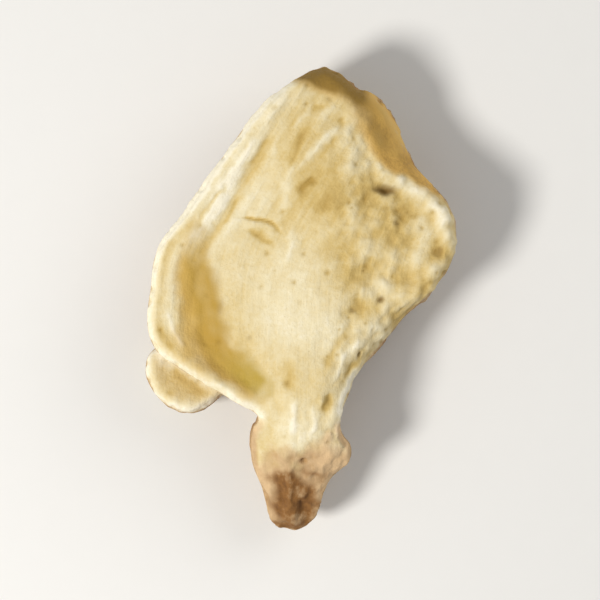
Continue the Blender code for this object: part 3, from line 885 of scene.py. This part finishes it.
def grouped(tree, group, place, places, **values):
    """A group's mask over the given places, in millimetres, as a socket."""
    node = new_node(tree, "ShaderNodeGroup", place)
    node.node_tree = group
    feed(tree, places, node.inputs["Places"])
    for name, value in values.items():
        node.inputs[name.replace("_", " ")].default_value = value
    return node.outputs["Mask"]


def varied(tree, place, tone, mask, amount):
    """The tone with a mask's variation round it, from -amount/2 to +amount/2."""
    x, y = place
    shift = computed(tree, (x, y - 150), "MULTIPLY_ADD", mask, amount, -amount / 2)
    return computed(tree, (x + 180, y), "ADD", tone, shift)


class RootPatterns:
    """The patterns that the materials of the root share, as sockets."""

    def __init__(self, tree):
        patches = mask_group(
            "soft_patches", "ShaderNodeTexNoise", "Fac", {"Low": "From Min", "High": "From Max"},
            {"Detail": 4.0, "Roughness": 0.6}, {},
        )
        specks = mask_group(
            "small_specks", "ShaderNodeTexVoronoi", "Distance", {"Size": "From Max"},
            {}, {"From_Min": 0.05, "To_Min": 1.0, "To_Max": 0.0},
        )
        coordinates = new_node(tree, "ShaderNodeTexCoord", (-2400, 0))
        millimetres = new_node(tree, "ShaderNodeMapping", (-2200, 0), Scale=(1.0 / MM,) * 3)
        feed(tree, coordinates.outputs["Object"], millimetres.inputs["Vector"])
        places = millimetres.outputs["Vector"]
        along_flesh = attribute(tree, "along_flesh", (-2200, 400), "Vector")
        along_bark = attribute(tree, "along_bark", (-2200, -400), "Vector")
        self.fibres = grouped(tree, patches, (-1900, 900), along_flesh, Per_mm=5.5, Low=0.3, High=0.7)
        self.grain = grouped(tree, patches, (-1900, 700), places, Per_mm=6.5, Low=0.32, High=0.68)
        self.mottle = grouped(tree, patches, (-1900, 500), places, Per_mm=2.2, Low=0.36, High=0.64)
        self.vessels = grouped(tree, specks, (-1900, 300), places, Per_mm=3.6, Size=0.17)
        self.bark_patches = grouped(tree, patches, (-1900, -300), places, Per_mm=0.55, Low=0.4, High=0.62)
        self.bark_grain = grouped(tree, patches, (-1900, -500), along_bark, Per_mm=5.5, Low=0.34, High=0.66)
        self.bark_specks = grouped(tree, patches, (-1900, -700), places, Per_mm=9.0, Low=0.5, High=0.66)
        self.tone = attribute(tree, "tone", (-1900, 1150))


def flesh_and_facet(tree, patterns, colours):
    """Cream flesh with its golden ring, and the tan skin of the facet."""
    tone = varied(tree, (-1500, 1000), patterns.tone, patterns.fibres, amount=0.08)
    tone = varied(tree, (-1100, 1000), tone, patterns.grain, amount=0.1)
    tone = varied(tree, (-700, 1000), tone, patterns.mottle, amount=0.1)
    flesh = tone_ramp(
        tree, (-300, 1000), tone, colours, ochre_dark=0.05, ochre=0.35, cream=0.55, pale=0.8, palest=1.0,
    )
    ring = computed(tree, (-500, 700), "MULTIPLY", attribute(tree, "ring", (-700, 700)), RING_STRENGTH)
    green = attribute(tree, "ring_green", (-700, 550))
    gold = mixed(tree, (-450, 500), green, (*colours.ring, 1.0), (*colours.ring_green, 1.0))
    # Painted light: the ring's outer wall, in shade from the key light, turns to a paler gold
    wall = attribute(tree, "ring_wall_light", (-450, 350))
    gold = mixed(tree, (-250, 700), wall, gold, (*colours.ring_light_gold, 1.0))
    flesh = mixed(tree, (0, 900), ring, flesh, gold)
    shade = computed(tree, (0, 600), "MULTIPLY", patterns.vessels, VESSEL_SHADE)
    flesh = mixed(tree, (200, 900), shade, flesh, (*colours.ochre_dark, 1.0))
    skin_tone = varied(tree, (-500, 350), tone, patterns.grain, amount=0.12)
    skin = tone_ramp(tree, (0, 350), skin_tone, colours, skin_dark=0.1, skin=0.6, skin_pale=1.0)
    olive = attribute(tree, "facet_olive", (0, 100))
    skin = mixed(tree, (400, 400), olive, skin, (*colours.skin_olive, 1.0))
    return mixed(tree, (700, 800), attribute(tree, "facet", (400, 150)), flesh, skin)


def bark_colour(tree, patterns, colours):
    """Brown wrinkled bark with darker specks."""
    tone = varied(tree, (-1500, -300), patterns.tone, patterns.bark_grain, amount=0.3)
    tone = varied(tree, (-1100, -300), tone, patterns.bark_patches, amount=0.22)
    bark = tone_ramp(
        tree, (-300, -300), tone, colours, bark_crease=0.05, bark=0.35, bark_tan=0.62, bark_pale=0.95,
    )
    shade = computed(tree, (-100, -600), "MULTIPLY", patterns.bark_specks, BARK_SPECK_SHADE)
    return mixed(tree, (100, -300), shade, bark, (*colours.bark_crease, 1.0))


def stub_colour(tree, patterns, colours):
    """Pinkish tan skin of the stub, with its brown mottled middle."""
    tone = varied(tree, (-300, -800), patterns.tone, patterns.bark_grain, amount=0.14)
    tone = varied(tree, (100, -800), tone, patterns.mottle, amount=0.26)
    stub = tone_ramp(tree, (500, -100), tone, colours, bark_tan=0.1, stub=0.5, stub_pale=0.9)
    brown = tone_ramp(tree, (500, -350), tone, colours, bark_crease=0.1, stub_brown=0.5, stub=0.9)
    return mixed(tree, (800, -100), attribute(tree, "stub_brown", (500, -600)), stub, brown)


def root_normal(tree, patterns):
    """Fine bumps, smaller than a face of the mesh: fibres and grain, or the bark's threads and specks."""
    flesh_height = computed(tree, (1100, -300), "ADD", patterns.fibres, patterns.grain)
    bark_height = computed(tree, (1100, -500), "ADD", patterns.bark_grain, patterns.bark_specks)
    height = new_node(tree, "ShaderNodeMix", (1400, -400))
    feed(tree, attribute(tree, "bark", (1100, -700)), height.inputs["Factor"])
    feed(tree, flesh_height, height.inputs["A"])
    feed(tree, bark_height, height.inputs["B"])
    bump = new_node(tree, "ShaderNodeBump", (1700, -400), Strength=BUMP_STRENGTH, Distance=BUMP_DISTANCE)
    feed(tree, height.outputs["Result"], bump.inputs["Height"])
    return bump.outputs["Normal"]


def dried_root_material(colours):
    """Cream flesh, golden ring, tan facet, mottled stub and wrinkled bark, each with its own variation."""
    material = bpy.data.materials.new("dried_root")
    material.use_nodes = True
    tree = material.node_tree
    shader = tree.nodes["Principled BSDF"]
    shader.location = (2200, 0)
    tree.nodes["Material Output"].location = (2550, 0)
    patterns = RootPatterns(tree)
    root = flesh_and_facet(tree, patterns, colours)
    stub = stub_colour(tree, patterns, colours)
    bark = bark_colour(tree, patterns, colours)
    root = mixed(tree, (1100, 500), attribute(tree, "stub", (800, 300)), root, stub)
    root = mixed(tree, (1300, 400), attribute(tree, "bark", (1100, 250)), root, bark)
    # Painted shade: brown in the pits and pores
    root = mixed(tree, (1500, 300), attribute(tree, "pit", (1300, 150)), root, (*colours.pit, 1.0))
    feed(tree, root, shader.inputs["Base Color"])
    least, most = ROUGHNESS
    dull = new_node(tree, "ShaderNodeMapRange", (1500, 0), To_Min=least, To_Max=most)
    feed(tree, patterns.grain, dull.inputs["Value"])
    feed(tree, dull.outputs["Result"], shader.inputs["Roughness"])
    feed(tree, root_normal(tree, patterns), shader.inputs["Normal"])
    shader.inputs["Specular IOR Level"].default_value = SPECULAR
    return material


def number(name, description, default, **options):
    """A number that the user can change."""
    return bpy.props.FloatProperty(name=name, description=description, default=default, **options)


def length(name, description, default, **limits):
    """A length that the user can change, in metres."""
    return number(name, description, default, unit="LENGTH", precision=6, **limits)


def tint(name, description, default):
    """A colour that the user can change."""
    return bpy.props.FloatVectorProperty(
        name=name, description=description, default=default, size=3, subtype="COLOR", min=0.0, max=1.0,
    )


class SliceSettings(bpy.types.PropertyGroup):
    """Sizes of the slice's fine relief."""

    mesh_pitch: length("Mesh pitch", "Size of the faces that carry the relief", 0.000088, min=0.00005)
    smoothing: bpy.props.IntProperty(
        name="Smoothing", description="How often the even mesh is relaxed before the relief is added",
        default=10, min=0, max=40,
    )
    relief: number("Relief", "Strength of the fine relief", 1.0, min=0.0, max=2.0)
    growth_line_height: length("Growth lines", "Height of the lines that follow the bark", 0.00007)
    fibre_height: length("Fibres", "Height of the long fibres of the flesh", 0.00009)
    grain_height: length("Grain", "Height of the lumpy grain", 0.00013)
    pore_count: bpy.props.IntProperty(
        name="Pores", description="Number of small pores on the cut faces", default=160, min=0,
    )
    pore_depth: length("Pore depth", "Depth of a large pore", 0.00008)
    wrinkle_height: length("Bark wrinkles", "Height of the wrinkles of the bark", 0.00015)
    chip_depth: length("Chips", "Depth of the chips along the rim", 0.00016)


class RootColours(bpy.types.PropertyGroup):
    """Colours of the dried root."""

    ochre_dark: tint("Dark ochre", "Flesh in the deepest streaks", (0.43, 0.28, 0.07))
    ochre: tint("Ochre", "Flesh in the hollows of the grain", (0.6, 0.44, 0.165))
    cream: tint("Cream", "Most of the flesh", (0.69, 0.555, 0.285))
    pale: tint("Pale cream", "Flesh of the core and the neck", (0.78, 0.69, 0.46))
    # Palest cream is reached where painted light falls: along the rim and on the lumps
    palest: tint("Palest cream", "Flesh along the rim and on the lumps", (0.88, 0.82, 0.65))
    ring: tint("Growth ring", "Gold of the sunken growth ring", (0.42, 0.26, 0.036))
    # Painted light: the paler gold given to the ring's outer wall, which lies in shade
    ring_light_gold: tint("Growth ring, wall", "Paler gold of its outer wall", (0.6, 0.39, 0.095))
    ring_green: tint("Growth ring, end", "Olive gold at its lower end", (0.42, 0.29, 0.036))
    skin: tint("Skin", "Tan of the slanting facet", (0.73, 0.45, 0.115))
    skin_pale: tint("Skin, pale", "Facet where it is thin", (0.74, 0.49, 0.15))
    skin_dark: tint("Skin, dark", "Facet in its fine wrinkles", (0.38, 0.21, 0.05))
    skin_olive: tint("Skin, olive", "Facet at the tip and by the crest", (0.3, 0.18, 0.034))
    stub: tint("Stub", "Pinkish tan of the rootlet stub", (0.56, 0.385, 0.21))
    stub_pale: tint("Stub, pale", "Rootlet stub on its folds", (0.7, 0.49, 0.27))
    stub_brown: tint("Stub, brown", "Brown middle of the stub", (0.25, 0.115, 0.03))
    bark: tint("Bark", "Brown of the bark", (0.36, 0.19, 0.07))
    bark_tan: tint("Bark, tan", "Bark on its folds", (0.48, 0.3, 0.135))
    bark_pale: tint("Bark, pale", "Bark where it is worn", (0.66, 0.49, 0.28))
    # Darkest bark brown, reached in the creases partly through painted shade
    bark_crease: tint("Bark, creases", "Dark brown in the wrinkles", (0.12, 0.05, 0.015))
    # Painted shade: the brown that the pits and pores are darkened to
    pit: tint("Pits", "Brown in the pits", (0.19, 0.11, 0.022))


class StageSettings(bpy.types.PropertyGroup):
    """Floor, light and camera of the plain studio."""

    floor_colour: tint("Floor", "Colour of the plain floor", (0.78, 0.78, 0.77))
    floor_size: length("Floor size", "Length of the floor's sides", 1.2)
    camera_distance: length("Camera distance", "Height of the camera over the slice", 0.112)
    camera_lens: number("Lens", "Focal length in millimetres of film", 150.0, unit="CAMERA")
    key_power: number("Key light", "Power of the soft light from the left", 0.225, unit="POWER")
    fill_power: number("Fill light", "Power of the wide light from the right", 0.11, unit="POWER")
    sky_strength: number("Surrounding light", "Strength of the even light from all around", 0.33)


def floor_material(colour):
    """Plain matt floor with a hardly visible unevenness."""
    material = bpy.data.materials.new("plain_floor")
    material.use_nodes = True
    tree = material.node_tree
    shader = tree.nodes["Principled BSDF"]
    coordinates = new_node(tree, "ShaderNodeTexCoord", (-750, 0))
    texture = new_node(tree, "ShaderNodeTexNoise", (-500, 0), Scale=FLOOR_PATCHES)
    feed(tree, coordinates.outputs["Object"], texture.inputs["Vector"])
    darker = tuple(channel * FLOOR_DARKER for channel in colour)
    tone = mixed(tree, (-250, 0), texture.outputs["Fac"], (*colour, 1.0), (*darker, 1.0))
    feed(tree, tone, shader.inputs["Base Color"])
    shader.inputs["Roughness"].default_value = FLOOR_ROUGHNESS
    shader.inputs["Specular IOR Level"].default_value = FLOOR_SPECULAR
    return material


def add_area_light(name, target, power, place, size, colour):
    """One soft round light, aimed at the target."""
    aim = (Vector(target) - Vector(place)).to_track_quat("-Z", "Y").to_euler()
    bpy.ops.object.light_add(type="AREA", location=place, rotation=aim)
    light = bpy.context.active_object
    light.name = name
    light.data.shape = "DISK"
    light.data.size = size
    light.data.energy = power
    light.data.color = colour


class CHICORY_OT_slice(bpy.types.Operator):
    """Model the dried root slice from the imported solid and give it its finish"""

    bl_idname = "chicory.slice"
    bl_label = "Model the slice"
    bl_options = {"REGISTER", "UNDO"}

    def execute(self, context):
        piece = model_slice(context.scene.chicory_slice)
        material = dried_root_material(context.scene.chicory_colours)
        piece.data.materials.clear()
        piece.data.materials.append(material)
        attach(piece, BODY)
        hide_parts(NODE)
        return {"FINISHED"}


class CHICORY_OT_stage(bpy.types.Operator):
    """Set up the pale floor, the soft light and the camera that looks straight down"""

    bl_idname = "chicory.stage"
    bl_label = "Set up the studio"
    bl_options = {"REGISTER", "UNDO"}

    def execute(self, context):
        stage = context.scene.chicory_stage
        low, high = [Vector(corner) for corner in CAD_BOX]
        middle = (low + high) / 2

        bpy.ops.object.select_all(action="DESELECT")
        bpy.ops.mesh.primitive_plane_add(size=stage.floor_size, location=(0.0, 0.0, low.z - FLOOR_GAP))
        floor = context.active_object
        floor.name = "plain_floor"
        floor.data.materials.append(floor_material(stage.floor_colour))

        add_area_light("key_light", middle, stage.key_power, *KEY)
        add_area_light("fill_light", middle, stage.fill_power, *FILL)

        world = bpy.data.worlds.new("plain_studio")
        world.use_nodes = True
        background = world.node_tree.nodes["Background"]
        background.inputs["Color"].default_value = WHITE
        background.inputs["Strength"].default_value = stage.sky_strength
        context.scene.world = world

        camera_place = (middle.x, middle.y, high.z + stage.camera_distance)
        bpy.ops.object.camera_add(location=camera_place, rotation=(0.0, 0.0, 0.0))
        camera = context.active_object
        camera.name = "camera_from_above"
        camera.data.lens = stage.camera_lens
        camera.data.clip_start, camera.data.clip_end = CLIP
        context.scene.camera = camera
        context.scene.view_settings.view_transform = "Standard"
        return {"FINISHED"}


class CHICORY_PT_panel(bpy.types.Panel):
    """Sidebar panel that lists the pieces and their settings"""

    bl_idname = "CHICORY_PT_panel"
    bl_label = "Chicory root"
    bl_space_type = "VIEW_3D"
    bl_region_type = "UI"
    bl_category = "Chicory Root"

    def draw(self, context):
        layout = self.layout
        scene = context.scene
        sections = (
            ("chicory.slice", (scene.chicory_slice, scene.chicory_colours)),
            ("chicory.stage", (scene.chicory_stage,)),
        )
        for operator, groups in sections:
            box = layout.box()
            box.operator(operator)
            for group in groups:
                for name in group.__annotations__:
                    box.prop(group, name)


CLASSES = (
    SliceSettings,
    RootColours,
    StageSettings,
    CHICORY_OT_slice,
    CHICORY_OT_stage,
    CHICORY_PT_panel,
)


def register():
    """Register the classes and hang the settings on the scene."""
    for cls in CLASSES:
        bpy.utils.register_class(cls)
    bpy.types.Scene.chicory_slice = bpy.props.PointerProperty(type=SliceSettings)
    bpy.types.Scene.chicory_colours = bpy.props.PointerProperty(type=RootColours)
    bpy.types.Scene.chicory_stage = bpy.props.PointerProperty(type=StageSettings)


def unregister():
    """Take the settings off the scene and unregister the classes."""
    del bpy.types.Scene.chicory_stage
    del bpy.types.Scene.chicory_colours
    del bpy.types.Scene.chicory_slice
    for cls in reversed(CLASSES):
        bpy.utils.unregister_class(cls)


def main():
    """Build the slice and its studio."""
    register()
    bpy.ops.chicory.slice()
    bpy.ops.chicory.stage()


if __name__ == "__main__":
    main()
